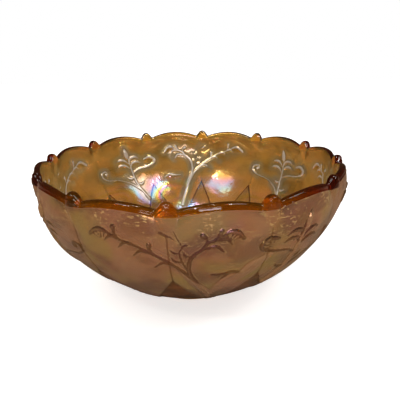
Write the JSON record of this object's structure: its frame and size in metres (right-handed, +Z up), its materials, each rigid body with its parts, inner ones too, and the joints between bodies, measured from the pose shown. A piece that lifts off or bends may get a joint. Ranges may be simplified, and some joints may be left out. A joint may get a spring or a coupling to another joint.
{
  "type": "carnival glass bowl",
  "caption": "Round pressed-glass serving bowl on a low collar foot, with a scalloped rim, small rounded rim knobs and raised leaf sprays under a marigold lustre.",
  "frame": {"origin": "centre of the flat ring under the foot, on the surface that the bowl stands on", "axes": "+Z up along the bowl's axis; a rim knob and its rib lie over -Y, and the knobs repeat every 30 degrees"},
  "size_m": [0.219, 0.219, 0.0987],
  "materials": {
    "marigold_glass": "amber pressed glass with a fired-on iridescent marigold lustre: glossy on the rim, satin on the outside"
  },
  "bodies": {
    "root": {"bowl": "marigold_glass"}
  },
  "joints": []
}
